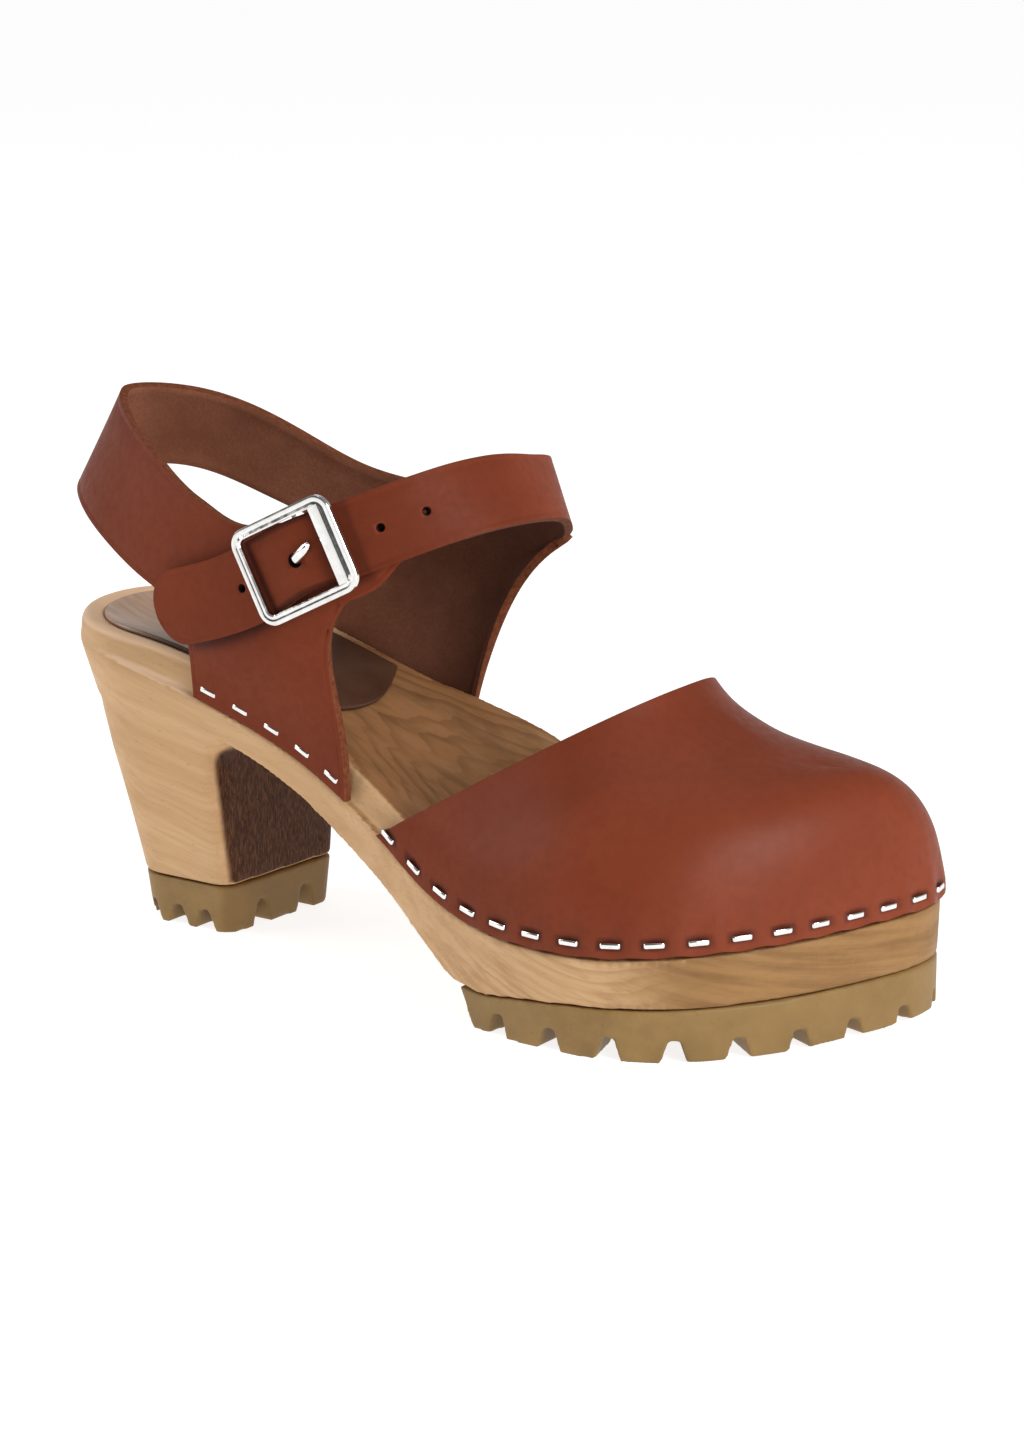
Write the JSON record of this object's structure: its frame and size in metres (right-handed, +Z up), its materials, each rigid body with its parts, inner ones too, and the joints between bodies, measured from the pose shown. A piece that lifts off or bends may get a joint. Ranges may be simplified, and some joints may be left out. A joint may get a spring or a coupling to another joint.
{
  "type": "clog sandal",
  "caption": "Right clog sandal: carved wooden sole with block heel, closed stapled leather toe, buckled strap round heel and instep, gum rubber lugs under heel and forefoot",
  "frame": {"origin": "on the floor, under the middle of the shoe's bounding box", "axes": "+X from heel to toe, +Y to the inner side of the right foot, +Z up"},
  "size_m": [0.2435, 0.1012, 0.1377],
  "materials": {
    "wood": "satin, sealed",
    "gum_rubber": "matte",
    "leather": "semi-gloss smooth grain",
    "sock_leather": "matte",
    "nickel": "bright"
  },
  "bodies": {
    "root": {"wood_sole": "wood", "forefoot_outsole": "gum_rubber", "heel_top_piece": "gum_rubber", "vamp": "leather", "ankle_straps": "leather", "heel_sock": "sock_leather", "buckle": "nickel", "vamp_staple_01": "nickel", "vamp_staple_02": "nickel", "vamp_staple_03": "nickel", "vamp_staple_04": "nickel", "vamp_staple_05": "nickel", "vamp_staple_06": "nickel", "vamp_staple_07": "nickel", "vamp_staple_08": "nickel", "vamp_staple_09": "nickel", "vamp_staple_10": "nickel", "vamp_staple_11": "nickel", "vamp_staple_12": "nickel", "vamp_staple_13": "nickel", "vamp_staple_14": "nickel", "vamp_staple_15": "nickel", "vamp_staple_16": "nickel", "vamp_staple_17": "nickel", "vamp_staple_18": "nickel", "vamp_staple_19": "nickel", "vamp_staple_20": "nickel", "vamp_staple_21": "nickel", "vamp_staple_22": "nickel", "vamp_staple_23": "nickel", "vamp_staple_24": "nickel", "vamp_staple_25": "nickel", "vamp_staple_26": "nickel", "vamp_staple_27": "nickel", "vamp_staple_28": "nickel", "quarter_staple_01": "nickel", "quarter_staple_02": "nickel", "quarter_staple_03": "nickel", "quarter_staple_04": "nickel", "quarter_staple_05": "nickel", "quarter_staple_06": "nickel", "quarter_staple_07": "nickel", "quarter_staple_08": "nickel", "quarter_staple_09": "nickel", "quarter_staple_10": "nickel"}
  },
  "joints": []
}
